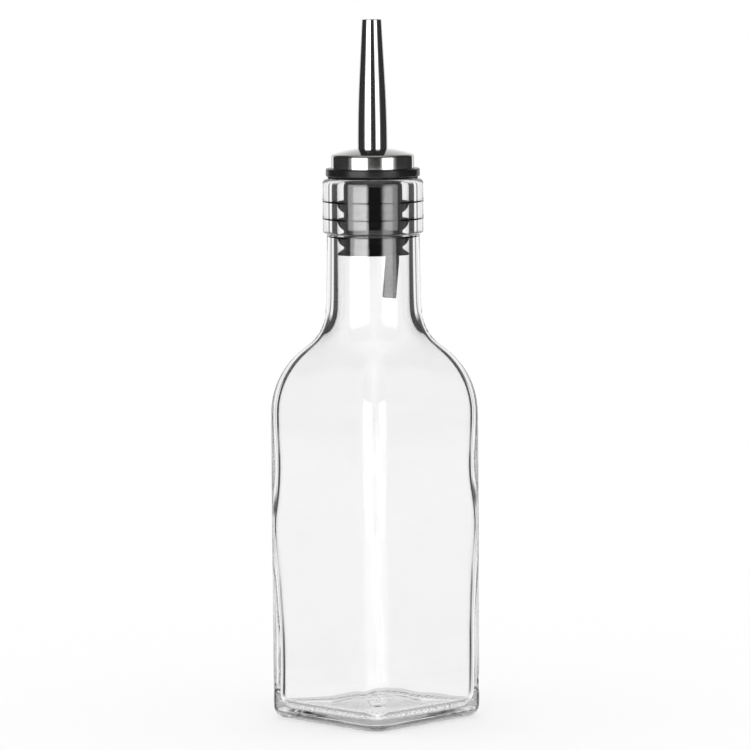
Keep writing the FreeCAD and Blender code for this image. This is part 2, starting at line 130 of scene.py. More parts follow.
def round_rings(profile):
    """Carries the selected round ring on through (radius, height) steps."""
    start = next(vertex.co.copy() for vertex in edited().verts if vertex.select)
    radius, height = start.xy.length, start.z
    for new_radius, new_height in profile:
        next_ring(new_height - height, new_radius / radius)
        radius, height = new_radius, new_height


def close_floor(rounding, profile):
    """Fills the lowest ring, rounds its edge, and follows (reach, height, roundness) steps to a point."""
    first_inset = 0.0004
    bpy.ops.mesh.edge_face_add()
    bpy.ops.mesh.bevel(affect="EDGES", offset=rounding, segments=corner_steps, profile=0.5)
    bpy.ops.mesh.select_all(action="DESELECT")
    shown = [face for face in edited().faces if not face.hide]
    floor = max(shown, key=lambda face: len(face.verts))
    floor.select_set(True)
    bmesh.update_edit_mesh(bpy.context.object.data)
    for reach, height, roundness in profile:
        bpy.ops.mesh.inset(thickness=first_inset)
        bpy.ops.transform.tosphere(value=roundness)
        ring = [vertex.co for vertex in edited().verts if vertex.select]
        growth = reach / max(co.xy.length for co in ring)
        bpy.ops.transform.resize(value=(growth, growth, 1))
        bpy.ops.transform.translate(value=(0, 0, height - ring[0].z))
    bpy.ops.mesh.poke()


bottle = start_piece("clear_glass_bottle")
bpy.ops.mesh.delete(type="VERT")

# Outside, upwards: the shoulder, the slim neck, the band with its soft lower edge, and over the lip.
neck_profile = [(0.01425, 0.1284), (0.0140, 0.1378), (0.01384, 0.1440)]
band_profile = [
    (0.01383, band_low - 0.0003), (0.01398, band_low + 0.00002), (0.0145, band_low),
    (0.01493, band_low + 0.00026), (band_radius, band_low + 0.0009), (band_radius, band_low + 0.0025),
    (band_radius, lip_height - 0.0030), (band_radius, lip_height - 0.0015),
]
lip_profile = [
    (0.0149, lip_height - 0.00075), (0.01435, lip_height - 0.0002), (0.0136, lip_height),
    (0.0127, lip_height), (0.0115, lip_height), (0.01093, lip_height - 0.00023), (bore_radius, lip_end),
]
square_ring(body_side, body_corner, shoulder_height)
draw_in(neck_radius, convex=0.024, concave=0.0135)
round_rings(neck_profile + band_profile + lip_profile)

# Outside, downwards: the straight sides, the rounded heel, a flat rim, and the hollow pushed up inside it.
side_drops = (0.006, 0.0716, 0.014)
hollow_profile = [
    (0.0185, 0.0, 1), (0.0172, 0.00003, 1), (0.0150, 0.00043, 1), (0.0115, 0.00109, 1),
    (0.0075, 0.00162, 1), (0.0035, 0.00192, 1),
]
pick(lambda co: abs(co.z - shoulder_height) < same_place)
for drop in side_drops:
    next_ring(-drop)
close_floor(heel_round, hollow_profile)
bpy.ops.mesh.select_all(action="SELECT")
bpy.ops.mesh.hide()

# Inside, upwards: the shoulder and the bore, to just under the lip.
square_ring(body_side - 2 * glass_wall, inner_corner, shoulder_height)
draw_in(bore_radius, convex=0.0216, concave=0.0165)
round_rings([(bore_radius, 0.1300), (bore_radius, 0.1450), (bore_radius, bore_top)])

# Inside, downwards: each ring has a height, a size against the first one, and a shift to the camera's
# right. The glass is thin round one height of the body. Below that it is thicker, more so on one side.
inside_rings = [
    (0.084, 0.990, 0), (0.077, 0.968, -0.0001), (0.071, 0.982, -0.0001), (0.066, 1.012, 0),
    (0.0615, 1.036, 0), (0.057, 1.042, 0), (0.052, 1.028, 0), (0.046, 1.002, 0), (0.040, 0.985, 0.0001),
    (0.032, 0.968, 0.0003), (0.023, 0.955, 0.00045), (0.013, 0.950, 0.0004), (0.003, 0.955, 0),
]
floor_profile = [
    (0.0212, 0.0031, 0.1), (0.0190, 0.0035, 0.25), (0.0160, 0.0042, 0.4), (0.0125, 0.0049, 0.6),
    (0.0085, 0.0054, 0.8), (0.0040, 0.0056, 1),
]
pick(lambda co: abs(co.z - shoulder_height) < same_place)
height, size, aside = shoulder_height, 1.0, 0.0
for new_height, new_size, new_aside in inside_rings:
    next_ring(new_height - height, new_size / size)
    shift = (new_aside - aside) * diagonal
    bpy.ops.transform.translate(value=(shift, shift, 0))
    height, size, aside = new_height, new_size, new_aside
close_floor(floor_round, floor_profile)

# The sides of the inside are where the waves of blown glass will be.
wave_low, wave_high = 0.012, 0.086
wave_length = 0.02
wave_depth = 0.0005
pick(lambda co: wave_low < co.z < wave_high)
bottle.vertex_groups.new(name="uneven_inside")
bpy.ops.object.vertex_group_assign()

# The two skins meet inside the mouth.
slack = 0.00005
bpy.ops.mesh.reveal()
pick(lambda co: bore_top - slack < co.z < lip_end + slack and co.xy.length < bore_radius + slack)
bpy.ops.mesh.bridge_edge_loops()
bpy.ops.mesh.select_all(action="SELECT")
bpy.ops.mesh.normals_make_consistent(inside=False)
bpy.ops.object.mode_set(mode="OBJECT")
bpy.ops.object.modifier_add(type="SUBSURF")
bottle.modifiers["Subdivision"].levels = smoothing
bottle.modifiers["Subdivision"].render_levels = smoothing
bpy.ops.object.modifier_apply(modifier="Subdivision")
waves = bpy.data.textures.new("blown_waves", type="CLOUDS")
waves.noise_scale = wave_length
waves.noise_depth = 1
bpy.ops.object.modifier_add(type="DISPLACE")
bottle.modifiers["Displace"].texture = waves
bottle.modifiers["Displace"].texture_coords = "LOCAL"
bottle.modifiers["Displace"].vertex_group = "uneven_inside"
bottle.modifiers["Displace"].strength = wave_depth
bpy.ops.object.modifier_apply(modifier="Displace")
bpy.ops.object.shade_smooth()


def put(nodes, kind, values=None, **settings):
    """Adds one node, with its settings and the values on its sockets."""
    new = nodes.new("ShaderNode" + kind)
    for name, value in settings.items():
        setattr(new, name, value)
    for socket, value in (values or {}).items():
        new.inputs[socket].default_value = value
    return new


def fade(nodes, source, limits, low=0.0, high=1.0):
    """A level that goes from low to high while its source goes from one limit to the other."""
    start, end = limits
    faded = put(nodes, "MapRange", {"From Min": start, "From Max": end, "To Min": low, "To Max": high})
    nodes.id_data.links.new(source, faded.inputs["Value"])
    return faded.outputs["Result"]


def combined(nodes, operation, first, second):
    """One level made from two, each of them a number or the output of a node."""
    both = put(nodes, "Math", operation=operation)
    for socket, source in zip(both.inputs, (first, second)):
        if isinstance(source, (int, float)):
            socket.default_value = source
        else:
            nodes.id_data.links.new(source, socket)
    return both.outputs["Value"]


def finish_of(piece, name):
    """A new material on a piece: its nodes, its links and its main shader."""
    material = bpy.data.materials.new(name)
    material.use_nodes = True
    piece.data.materials.clear()
    piece.data.materials.append(material)
    nodes = material.node_tree.nodes
    return nodes, material.node_tree.links, nodes["Principled BSDF"]


def shared_effect(name, numbers, results):
    """A node group for an effect that materials share: it takes a place and numbers, and gives levels."""
    group = bpy.data.node_groups.new(name, "ShaderNodeTree")
    group.interface.new_socket("Vector", in_out="INPUT", socket_type="NodeSocketVector")
    for socket in numbers:
        group.interface.new_socket(socket, in_out="INPUT", socket_type="NodeSocketFloat")
    for socket in results:
        group.interface.new_socket(socket, in_out="OUTPUT", socket_type="NodeSocketFloat")
    return group, group.nodes.new("NodeGroupInput"), group.nodes.new("NodeGroupOutput")


# Handling leaves faint smudges on a smooth surface, and wiping draws some of them out lengthwise.
faint_smudges, given, result = shared_effect("faint_smudges", ["Size"], ["Smudges", "Streaks"])
nodes, links = faint_smudges.nodes, faint_smudges.links
blotches = put(nodes, "TexNoise", {"Detail": 4.0, "Roughness": 0.6})
links.new(given.outputs["Vector"], blotches.inputs["Vector"])
links.new(given.outputs["Size"], blotches.inputs["Scale"])
only_some = put(nodes, "MapRange", {"From Min": 0.48, "From Max": 0.75}, interpolation_type="SMOOTHSTEP")
links.new(blotches.outputs["Fac"], only_some.inputs["Value"])
links.new(only_some.outputs["Result"], result.inputs["Smudges"])
drawn_out = put(nodes, "Mapping", {"Scale": (9.0, 9.0, 0.3)})
links.new(given.outputs["Vector"], drawn_out.inputs["Vector"])
wiped = put(nodes, "TexNoise", {"Detail": 3.0, "Roughness": 0.55})
links.new(drawn_out.outputs["Vector"], wiped.inputs["Vector"])
links.new(given.outputs["Size"], wiped.inputs["Scale"])
links.new(wiped.outputs["Fac"], result.inputs["Streaks"])

# The glass is clear and smooth. Only the underside isn't: the mould leaves a fine stipple on the rim that
# the bottle stands on, and a frosted hollow inside it. Painted shade: the colour is darkened round the
# outside of the heel, to give it the dark edge that the shade under the bottle would give it.
rim_heights = (0.0007, 0.0002)
hollow_heights = (0.0025, 0.0021)
hollow_reach = (0.0205, 0.0195)
heel_shade_foot = (0.0003, 0.0008)
heel_shade_top = (0.0026, 0.0020)
heel_shade_level = 0.5
smudged_level = 0.992
underside_roughness = 0.35
nodes, links, glass = finish_of(bottle, "clear_glass")
glass.inputs["Transmission Weight"].default_value = 1.0
glass.inputs["IOR"].default_value = 1.52
place = put(nodes, "TexCoord").outputs["Object"]
along = put(nodes, "SeparateXYZ")
links.new(place, along.inputs["Vector"])
above_ground = along.outputs["Z"]
flattened = put(nodes, "VectorMath", {1: (1, 1, 0)}, operation="MULTIPLY")
links.new(place, flattened.inputs[0])
from_axis = put(nodes, "VectorMath", operation="LENGTH")
links.new(flattened.outputs["Vector"], from_axis.inputs[0])
within_rim = fade(nodes, from_axis.outputs["Value"], hollow_reach)
rim = fade(nodes, above_ground, rim_heights)
hollow = combined(nodes, "MULTIPLY", fade(nodes, above_ground, hollow_heights), within_rim)
underside = combined(nodes, "MAXIMUM", rim, hollow)
roughness = combined(nodes, "MULTIPLY", underside, underside_roughness)
links.new(roughness, glass.inputs["Roughness"])
smudges = put(nodes, "Group", {"Size": 60.0}, node_tree=faint_smudges)
links.new(place, smudges.inputs["Vector"])
dimmed = fade(nodes, smudges.outputs["Smudges"], (0.0, 1.0), 1.0, smudged_level)
# Painted shade: a band round the outside of the heel, outside the rim, has its glass colour darkened.
heel_shade_band = combined(
    nodes, "MULTIPLY", fade(nodes, above_ground, heel_shade_foot), fade(nodes, above_ground, heel_shade_top))
heel_shade = combined(nodes, "MULTIPLY", heel_shade_band, combined(nodes, "SUBTRACT", 1.0, within_rim))
smudges_and_heel_shade = combined(nodes, "MULTIPLY", dimmed, fade(nodes, heel_shade, (0.0, 1.0), 1.0, heel_shade_level))
links.new(smudges_and_heel_shade, glass.inputs["Base Color"])
stipple = put(nodes, "TexVoronoi", {"Scale": 800.0})
links.new(place, stipple.inputs["Vector"])
dimples = put(nodes, "Bump", {"Strength": 0.7, "Distance": 0.0006})
links.new(combined(nodes, "MULTIPLY", stipple.outputs["Distance"], rim), dimples.inputs["Height"])
links.new(dimples.outputs["Normal"], glass.inputs["Normal"])
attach(bottle, "bottle")
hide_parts("glass_bottle")


# Stopper core: a hard black plastic moulding that carries the whole pourer. Its collar shows between the
# steel cap and the glass, a boss above it fills the cap, and the stem below goes down inside the sleeve.
# The spout is pressed into its middle, and an air channel runs beside that from the cap to the air tube.
stem_low = 0.1391
stem_radius = 0.0081
collar_low = 0.16225
collar_top = 0.16465
collar_radius = 0.0140
boss_radius = 0.0119
boss_top = 0.16755
pour_radius = 0.0031
shank_radius = 0.0036
shank_low = 0.15255
seat_radius = shank_radius + 0.00005
tube_radius = 0.0021
tube_top = 0.1461
tube_centre = (0.00396, 0.00396)
channel_radius = 0.0010
overrun = 0.001
spin_steps = 128
hole_sides = 48
crease = math.radians(35)


def draw_outline(outline):
    """Draws a line through (radius, height, rounding) points beside the axis, its corners still sharp."""
    bpy.ops.mesh.merge(type="CENTER")
    bpy.ops.transform.translate(value=(outline[0][0], 0, outline[0][1]))
    for start, end in zip(outline, outline[1:]):
        step = (end[0] - start[0], 0, end[1] - start[1])
        bpy.ops.mesh.extrude_vertices_move(TRANSFORM_OT_translate={"value": step})


def join_ends():
    """Closes the line from its last point back to its first."""
    bpy.ops.mesh.select_all(action="DESELECT")
    mesh = edited()
    mesh.verts.ensure_lookup_table()
    mesh.verts[0].select_set(True)
    mesh.verts[-1].select_set(True)
    bmesh.update_edit_mesh(bpy.context.object.data)
    bpy.ops.mesh.edge_face_add()


def round_corners(outline, segments):
    """Rounds each corner of the line that has a rounding of its own."""
    for radius, height, rounding in outline:
        if rounding:
            pick(lambda co: math.hypot(co.x - radius, co.z - height) < same_place)
            bpy.ops.mesh.bevel(affect="VERTICES", offset=rounding, segments=segments, profile=0.5)


def spin_round():
    """Spins the line round the bottle's axis and closes the seam."""
    bpy.ops.mesh.select_all(action="SELECT")
    bpy.ops.mesh.spin(steps=spin_steps, angle=math.tau, center=(0, 0, 0), axis=(0, 0, 1))
    bpy.ops.mesh.select_all(action="SELECT")
    bpy.ops.mesh.remove_doubles(threshold=same_place)
    bpy.ops.mesh.normals_make_consistent(inside=False)


def drill(piece, radius, centre, bottom, top):
    """Cuts an upright round hole with a round bar that is thrown away."""
    bpy.ops.mesh.primitive_cylinder_add(
        vertices=hole_sides, radius=radius, depth=top - bottom, location=(*centre, (top + bottom) / 2))
    bar = bpy.context.object
    bpy.context.view_layer.objects.active = piece
    bpy.ops.object.modifier_add(type="BOOLEAN")
    piece.modifiers["Boolean"].object = bar
    bpy.ops.object.modifier_apply(modifier="Boolean")
    bpy.data.objects.remove(bar)
    piece.select_set(True)


def smooth_faces(piece):
    """Shades the curved faces smooth, the large ones as flat as they are, and leaves the sharp edges."""
    bpy.ops.object.shade_smooth_by_angle(angle=crease)
    bpy.ops.object.modifier_add(type="WEIGHTED_NORMAL")
    piece.modifiers["WeightedNormal"].keep_sharp = True
    bpy.ops.object.modifier_apply(modifier="WeightedNormal")


core_outline = [
    (pour_radius, stem_low, 0.0002), (stem_radius, stem_low, 0.0003), (stem_radius, collar_low, 0),
    (collar_radius, collar_low, 0.0004), (collar_radius, collar_top, 0.0004), (boss_radius, collar_top, 0),
    (boss_radius, boss_top, 0.0003), (seat_radius, boss_top, 0.0002), (seat_radius, shank_low, 0),
    (pour_radius, shank_low, 0),
]
core = start_piece("stopper_core_moulding")
draw_outline(core_outline)
join_ends()
round_corners(core_outline, segments=4)
spin_round()
bpy.ops.object.mode_set(mode="OBJECT")
drill(core, tube_radius, tube_centre, stem_low - overrun, tube_top)
drill(core, channel_radius, tube_centre, tube_top - overrun, boss_top + overrun)
smooth_faces(core)

# A mould leaves a fine grain on black mouldings, and some patches come out duller than others.
moulded_grain, given, result = shared_effect("moulded_grain", ["Size"], ["Grain", "Patches"])
nodes, links = moulded_grain.nodes, moulded_grain.links
grain = put(nodes, "TexNoise", {"Detail": 2.0, "Roughness": 0.5})
links.new(given.outputs["Vector"], grain.inputs["Vector"])
links.new(given.outputs["Size"], grain.inputs["Scale"])
links.new(grain.outputs["Fac"], result.inputs["Grain"])
patches = put(nodes, "TexNoise", {"Scale": 260.0, "Detail": 3.0, "Roughness": 0.6})
links.new(given.outputs["Vector"], patches.inputs["Vector"])
links.new(patches.outputs["Fac"], result.inputs["Patches"])

# Most of a noise lies between these levels.
usual_noise = (0.3, 0.7)


def black_moulding(piece, name, grain_size, grain_strength, dull, duller, dark, lighter):
    """A black material with moulded grain, and with patches that are duller and a little lighter."""
    nodes, links, shader = finish_of(piece, name)
    place = put(nodes, "TexCoord").outputs["Object"]
    surface = put(nodes, "Group", {"Size": grain_size}, node_tree=moulded_grain)
    links.new(place, surface.inputs["Vector"])
    dullness = fade(nodes, surface.outputs["Patches"], usual_noise, dull, duller)
    links.new(dullness, shader.inputs["Roughness"])
    colour = put(nodes, "ValToRGB")
    colour.color_ramp.elements[0].color = (*dark, 1)
    colour.color_ramp.elements[1].color = (*lighter, 1)
    links.new(surface.outputs["Patches"], colour.inputs["Fac"])
    links.new(colour.outputs["Color"], shader.inputs["Base Color"])
    bumps = put(nodes, "Bump", {"Strength": grain_strength, "Distance": 0.00005})
    links.new(surface.outputs["Grain"], bumps.inputs["Height"])
    links.new(bumps.outputs["Normal"], shader.inputs["Normal"])
    return shader


plastic = black_moulding(
    core, "black_plastic", grain_size=3200.0, grain_strength=0.25, dull=0.21, duller=0.31,
    dark=(0.006, 0.006, 0.0065), lighter=(0.011, 0.011, 0.0115))
plastic.inputs["Specular IOR Level"].default_value = 0.5
black_plastic = core.data.materials[0]
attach(core, "pourer")
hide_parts("stopper_core")


# Finned sleeve: a soft black moulding pulled over the stem of the core. Its flange seals on the lip of the
# glass, and three cupped fins and a flat end fin grip the bore of the neck.
sleeve_radius = 0.0087
fin_radius = 0.01071
fin_edges = (0.1447, 0.14985, 0.1550)
fin_rise = 0.0034
end_fin_radius = 0.0106
end_fin_edge = 0.0004
flange_radius = 0.0134
flange_low = 0.16185
sleeve_outline = [
    (stem_radius, stem_low, 0), (end_fin_radius, stem_low, 0.0001),
    (end_fin_radius, stem_low + end_fin_edge, 0.0001), (sleeve_radius, stem_low + 0.0016, 0.0004),
]
for edge in fin_edges:
    root = edge - fin_rise
    sleeve_outline += [
        (sleeve_radius, root, 0.0002), (0.00949, root + 0.00055, 0), (0.01007, root + 0.00123, 0),
        (0.01044, root + 0.00205, 0), (fin_radius, edge - 0.0004, 0), (fin_radius, edge, 0.00008),
        (0.0102, edge, 0.00008), (0.00967, root + 0.00224, 0), (sleeve_radius, root + 0.0014, 0.0003),
    ]
sleeve_outline += [
    (sleeve_radius, flange_low, 0.0003), (flange_radius, flange_low, 0.0001),
    (flange_radius, collar_low, 0), (stem_radius, collar_low, 0),
]
sleeve = start_piece("finned_rubber_sleeve")
draw_outline(sleeve_outline)
join_ends()
round_corners(sleeve_outline, segments=3)
spin_round()
bpy.ops.object.mode_set(mode="OBJECT")
smooth_faces(sleeve)

rubber = black_moulding(
    sleeve, "soft_black_rubber", grain_size=2400.0, grain_strength=0.35, dull=0.45, duller=0.6,
    dark=(0.004, 0.004, 0.0045), lighter=(0.009, 0.009, 0.0095))
rubber.inputs["Specular IOR Level"].default_value = 0.06
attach(sleeve, "pourer")
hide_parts("finned_sleeve")


# Air tube: a short length of black plastic tube pushed into the underside of the core. It lets air in
# beside the oil, and leans a little towards the middle of the neck because it comes off a reel.
tube_wall = 0.0006
tube_edge = 0.00012
tube_sides = 48
lean = math.radians(5)
bend_radius = 0.025
bend_height = 0.1381
bend_steps = 4
straight_run = 0.010
towards_axis = (-diagonal, -diagonal)


def wall_inwards(piece, thickness, edge, even):
    """Gives an open skin its wall on the inside, even in tight bends or not, and softens the two rims."""
    bpy.ops.object.mode_set(mode="OBJECT")
    bpy.ops.object.modifier_add(type="SOLIDIFY")
    piece.modifiers["Solidify"].thickness = thickness
    piece.modifiers["Solidify"].offset = -1
    piece.modifiers["Solidify"].use_even_offset = even
    bpy.ops.object.modifier_apply(modifier="Solidify")
    bpy.ops.object.modifier_add(type="BEVEL")
    piece.modifiers["Bevel"].width = edge
    piece.modifiers["Bevel"].segments = 2
    piece.modifiers["Bevel"].angle_limit = math.radians(50)
    bpy.ops.object.modifier_apply(modifier="Bevel")


air_tube = start_piece("air_tube")
bpy.ops.mesh.delete(type="VERT")
bpy.ops.mesh.primitive_circle_add(
    vertices=tube_sides, radius=tube_radius, location=(*tube_centre, tube_top))
bpy.ops.mesh.extrude_edges_move(TRANSFORM_OT_translate={"value": (0, 0, bend_height - tube_top)})
bend_x, bend_y = [centre + bend_radius * way for centre, way in zip(tube_centre, towards_axis)]
bpy.ops.mesh.spin(
    steps=bend_steps, angle=lean, center=(bend_x, bend_y, bend_height), axis=(diagonal, -diagonal, 0))
aside = straight_run * math.sin(lean)
down = straight_run * math.cos(lean)
bpy.ops.mesh.extrude_edges_move(TRANSFORM_OT_translate={
    "value": (aside * towards_axis[0], aside * towards_axis[1], -down)})
bpy.ops.mesh.select_all(action="SELECT")
bpy.ops.mesh.normals_make_consistent(inside=False)
wall_inwards(air_tube, tube_wall, tube_edge, even=False)
smooth_faces(air_tube)
air_tube.data.materials.clear()
air_tube.data.materials.append(black_plastic)
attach(air_tube, "pourer")
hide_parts("vent_tube")


# Cap: a stainless steel pressing, mirror polished, with straight sides, a rounded edge and a low dome. It
# is pressed over the boss of the core, and has a hole for the spout and a small air hole at the far side.
cap_radius = 0.0124
cap_round = 0.0009
cap_edge = 0.0001
side_ring = 0.1660
round_height = 0.16805
dome_radius = 0.038
dome_centre = 0.132777
sheet = 0.0005
air_hole_radius = 0.0008
air_hole_centre = (-0.00566, 0.00566)
air_hole_low, air_hole_high = 0.1682, 0.1712


def arc(centre, radius, start, end, steps):
    """Points along an arc, from one angle to another in degrees, as (radius, height, no rounding)."""
    angles = [math.radians(start + (end - start) * step / steps) for step in range(steps + 1)]
    return [(centre[0] + radius * math.cos(a), centre[1] + radius * math.sin(a), 0) for a in angles]


dome_start = math.degrees(math.atan2(round_height - dome_centre, cap_radius - cap_round))
dome_end = math.degrees(math.acos(shank_radius / dome_radius))
cap_outline = [(cap_radius, collar_top, 0), (cap_radius, side_ring, 0)]
cap_outline += arc((cap_radius - cap_round, round_height), cap_round, 0, dome_start, steps=10)
cap_outline += arc((0, dome_centre), dome_radius, dome_start, dome_end, steps=16)[1:]
cap = start_piece("domed_steel_cap")
draw_outline(cap_outline)
spin_round()
wall_inwards(cap, sheet, cap_edge, even=True)
drill(cap, air_hole_radius, air_hole_centre, air_hole_low, air_hole_high)
smooth_faces(cap)

# Polished steel is a little warmer where it has been handled, and duller in streaks where it was wiped.
polished, wiped_dull = 0.05, 0.13
nodes, links, steel = finish_of(cap, "polished_steel")
steel.inputs["Metallic"].default_value = 1.0
place = put(nodes, "TexCoord").outputs["Object"]
smudges = put(nodes, "Group", {"Size": 90.0}, node_tree=faint_smudges)
links.new(place, smudges.inputs["Vector"])
colour = put(nodes, "ValToRGB")
colour.color_ramp.elements[0].color = (0.77, 0.77, 0.76, 1)
colour.color_ramp.elements[1].color = (0.72, 0.715, 0.70, 1)
links.new(smudges.outputs["Smudges"], colour.inputs["Fac"])
links.new(colour.outputs["Color"], steel.inputs["Base Color"])
dullness = fade(nodes, smudges.outputs["Streaks"], usual_noise, polished, wiped_dull)
links.new(dullness, steel.inputs["Roughness"])
buffing = put(nodes, "Bump", {"Strength": 0.06, "Distance": 0.00002})
links.new(smudges.outputs["Streaks"], buffing.inputs["Height"])
links.new(buffing.outputs["Normal"], steel.inputs["Normal"])
polished_steel = cap.data.materials[0]
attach(cap, "pourer")
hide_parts("cap_shell")


# Spout: a stainless steel tube drawn down to a slim tip and mirror polished. Its foot is turned in to a
# straight shank, which goes through the cap and is pressed into the core. The foot's edge stands slightly
# into the cap's sheet, so that no gap shows, and a ring just above it keeps the side's shading level.
foot_radius = 0.00445
foot_height = 0.171106
foot_low = 0.17034
foot_round = 0.00003
tip_radius = 0.0029
tip_height = 0.2087
tip_round = 0.00012
shank_round = 0.0001
taper = 3.2
sweep_steps = 12

# The side leaves the foot upright, bends in along a large arc, and runs on straight to the tip.
lean_in = math.tan(math.radians(taper))
narrowing = foot_radius - tip_radius
sweep_radius = ((tip_height - foot_height) * lean_in - narrowing) / (math.hypot(1, lean_in) - 1)
sweep_centre = (foot_radius - sweep_radius, foot_height)
spout_outline = [
    (pour_radius, shank_low, shank_round), (shank_radius, shank_low, shank_round),
    (shank_radius, foot_height - sheet, 0), (foot_radius, foot_low, foot_round),
    (foot_radius, foot_low + 3 * foot_round, 0),
]
spout_outline += arc(sweep_centre, sweep_radius, 0, taper, sweep_steps)
spout_outline += [(tip_radius, tip_height, tip_round), (tip_radius - sheet, tip_height, tip_round)]
spout_outline += arc(sweep_centre, sweep_radius - sheet, taper, 0, sweep_steps)
spout_outline += [(pour_radius, foot_height, 0)]
spout = start_piece("steel_pouring_spout")
draw_outline(spout_outline)
join_ends()
round_corners(spout_outline, segments=3)
spin_round()
bpy.ops.object.mode_set(mode="OBJECT")
smooth_faces(spout)
spout.data.materials.clear()
spout.data.materials.append(polished_steel)
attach(spout, "pourer")
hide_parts("spout_tube")


# Stage: a small pale table top, white where no shadow falls, so that it fades into the white background.
# Glass and steel don't see it, because the studio below has a table of its own for them.
table_radius = 0.36
table_gap = 0.0001
matt_share = 0.42
bpy.ops.mesh.primitive_circle_add(
    vertices=128, radius=table_radius, fill_type="NGON", location=(0, 0, -table_gap))
table = bpy.context.object
table.name = "table_top"
pale = bpy.data.materials.new("pale_table")
pale.use_nodes = True
table.data.materials.append(pale)
nodes, links = pale.node_tree.nodes, pale.node_tree.links
nodes.remove(nodes["Principled BSDF"])
matt = put(nodes, "BsdfDiffuse", {"Color": (matt_share, matt_share, matt_share, 1)})
glow = put(nodes, "Emission", {"Strength": 1 - matt_share})
both = put(nodes, "AddShader")
links.new(matt.outputs["BSDF"], both.inputs[0])
links.new(glow.outputs["Emission"], both.inputs[1])
links.new(both.outputs["Shader"], nodes["Material Output"].inputs["Surface"])
table.visible_glossy = False
table.visible_transmission = False


# Light: white from all round, for what is seen straight on, through the glass, or lit softly. What glass
# and steel mirror is a studio, drawn by bearing and rise: two soft boxes in front, a white wall behind, a
# pale table and ceiling, dark screens beside the wall, and a light at each side that only the glass shows.
world = bpy.data.worlds.new("studio")
bpy.context.scene.world = world
world.use_nodes = True
world.cycles.sampling_method = "NONE"
nodes, links = world.node_tree.nodes, world.node_tree.links

# Where a ray is going: its bearing from the camera, and its rise.
direction = put(nodes, "TexCoord")
to_camera = put(nodes, "VectorMath", {1: (diagonal, -diagonal, 0)}, operation="DOT_PRODUCT")
to_right = put(nodes, "VectorMath", {1: (diagonal, diagonal, 0)}, operation="DOT_PRODUCT")
upward = put(nodes, "SeparateXYZ")
for part in (to_camera, to_right, upward):
    links.new(direction.outputs["Generated"], part.inputs[0])
bearing = combined(nodes, "ARCTAN2", to_right.outputs["Value"], to_camera.outputs["Value"])
round_trip = fade(nodes, bearing, (-math.pi, math.pi))
rise = put(nodes, "Math", operation="ARCSINE")
links.new(upward.outputs["Z"], rise.inputs[0])
up_and_down = fade(nodes, rise.outputs["Value"], (-math.pi / 2, math.pi / 2))


def levels_by_angle(angle, whole, stops):
    """Grey levels that follow an angle, from (degrees, level) stops."""
    levels = put(nodes, "ValToRGB")
    ramp = levels.color_ramp
    while len(ramp.elements) < len(stops):
        ramp.elements.new(0.5)
    for element, (degrees, grey) in zip(ramp.elements, stops):
        element.position = degrees / whole + 0.5
        element.color = (grey, grey, grey, 1)
    links.new(angle, levels.inputs["Fac"])
    return levels.outputs["Color"]


def by_bearing(stops):
    """Levels all round: 0 degrees is at the camera, 90 is to its right, and 180 is behind the bottle."""
    return levels_by_angle(round_trip, 360, stops)


def by_rise(stops):
    """Levels from below to above: 0 degrees is level, and 90 is straight up."""
    return levels_by_angle(up_and_down, 180, stops)


def levels_by_count(count, most, stops):
    """A level that follows a count, up to the most that can matter, from (count, level) stops."""
    levels = put(nodes, "FloatCurve")
    curve = levels.mapping.curves[0]
    while len(curve.points) < len(stops):
        curve.points.new(0.5, 0.5)
    for point, (number, grey) in zip(curve.points, stops):
        point.location = (number / most, grey)
        point.handle_type = "VECTOR"
    levels.mapping.update()
    links.new(combined(nodes, "MULTIPLY", count, 1 / most), levels.inputs["Value"])
    return levels.outputs["Value"]


# How many surfaces of glass a ray has passed: none, two where the inside of the front wall mirrors it, and
# more where it comes from beyond the front wall.
path = put(nodes, "LightPath")
passed = path.outputs["Transmission Depth"]
straight = combined(nodes, "LESS_THAN", passed, 0.5)
inside_glass = combined(nodes, "GREATER_THAN", passed, 1.5)
past_front = combined(nodes, "GREATER_THAN", passed, 2.5)
in_front = combined(nodes, "SUBTRACT", inside_glass, past_front)

# The soft boxes stand left and right of the camera and fade towards the table. The smooth glass shows
# them stronger than steel and plastic do, and they are weak beyond the front wall.
box_in_dull_mirror, box_in_sharp_mirror = 3.5, 8.0
box_past_front = 0.2
box_width = by_bearing([
    (-71, 0), (-67, 0.05), (-61, 0.08), (-57, 0.8), (-17, 1.0), (-14, 0.1), (-11, 0.06), (-9, 0),
    (21, 0), (23, 0.06), (26, 0.2), (29, 0.6), (56, 0.55), (60, 0.08), (65, 0.05), (70, 0)])
box_height = by_rise([
    (-10.5, 0.03), (-7.9, 0.08), (-6.9, 0.2), (-6.3, 0.24), (-5.7, 1.0), (14, 1.0), (24, 0)])
box_strength = fade(
    nodes, path.outputs["Is Singular Ray"], (0.0, 1.0), box_in_dull_mirror, box_in_sharp_mirror)
box_share = combined(nodes, "MAXIMUM", combined(nodes, "SUBTRACT", 1.0, past_front), box_past_front)
boxes = combined(nodes, "MULTIPLY", box_width, box_height)
boxes = combined(nodes, "MULTIPLY", boxes, combined(nodes, "MULTIPLY", box_share, box_strength))

# The white wall stands behind. The inside of the front wall shows only its lowest part.
wall_width = by_bearing([(-142, 1), (-138, 0), (138, 0), (142, 1)])
wall_height = by_rise([(-6, 1.0), (6, 1.0), (18, 0.75), (42, 0.3), (60, 0.03)])
low_part = by_rise([(3, 1.0), (10, 0.1)])
wall_share = combined(nodes, "MAXIMUM", low_part, combined(nodes, "SUBTRACT", 1.0, in_front))
white_wall = combined(nodes, "MULTIPLY", wall_width, wall_height)
white_wall = combined(nodes, "MULTIPLY", white_wall, wall_share)

